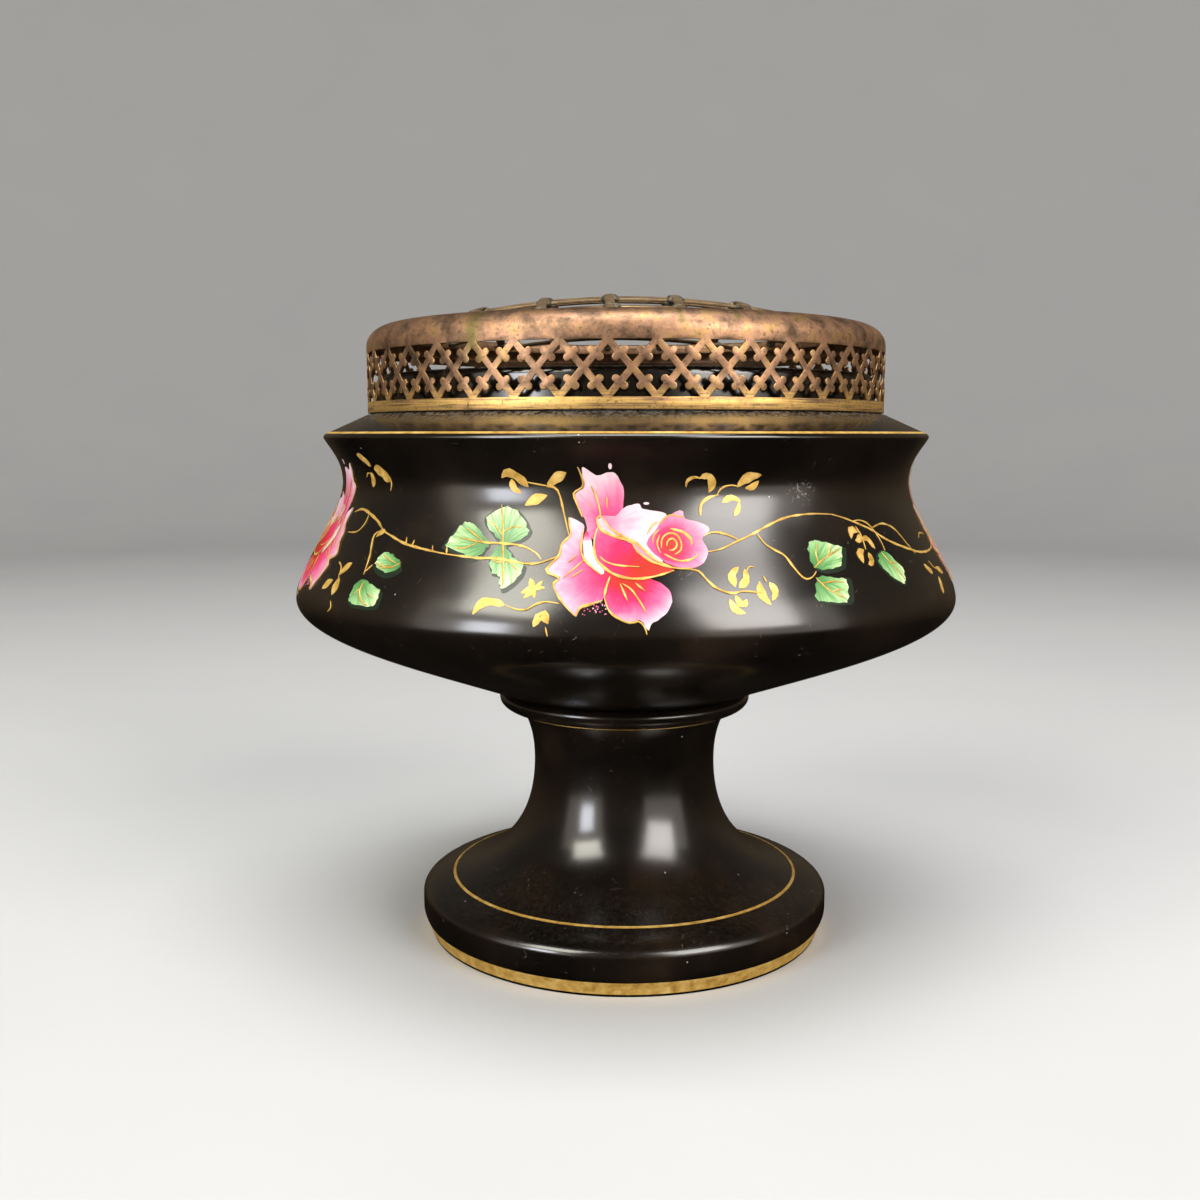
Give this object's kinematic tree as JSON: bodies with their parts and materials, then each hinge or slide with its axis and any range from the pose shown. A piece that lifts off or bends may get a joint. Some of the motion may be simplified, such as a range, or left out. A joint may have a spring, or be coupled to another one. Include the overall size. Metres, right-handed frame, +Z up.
{
  "type": "posy bowl",
  "caption": "Footed dark-glazed rose bowl: squat waisted bowl on a hollow pedestal foot, with a lift-off pierced brass collar and a domed wire grid for stems.",
  "frame": {"origin": "centre of the circle that the foot stands on, at table level", "axes": "+Z up along the axis of the pot; -Y is the front, the side with the main painted rose; +X is to its right"},
  "size_m": [0.1638, 0.1638, 0.1596],
  "materials": {
    "dark_glaze": "glossy brown-black glaze",
    "collar_brass": "aged, rubbed",
    "wire_brass": "aged, tarnished",
    "gilding": "bright gold, hand painted",
    "painted_enamel": "hand-painted enamel"
  },
  "bodies": {
    "pot": {"bowl": "dark_glaze", "pedestal_foot": "dark_glaze"},
    "grille": {"pierced_collar": "collar_brass", "cross_wire_1": "wire_brass", "cross_wire_2": "wire_brass", "cross_wire_3": "wire_brass", "cross_wire_4": "wire_brass", "cross_wire_5": "wire_brass", "cross_wire_6": "wire_brass", "cross_wire_7": "wire_brass", "over_wire_1": "wire_brass", "over_wire_2": "wire_brass", "over_wire_3": "wire_brass", "over_wire_4": "wire_brass", "over_wire_5": "wire_brass", "over_wire_6": "wire_brass", "over_wire_7": "wire_brass"}
  },
  "joints": [
    {"name": "grille_lift", "type": "slide", "parent": "pot", "child": "grille", "axis": [0, 0, 1], "range_m": [0, 0.03]}
  ]
}
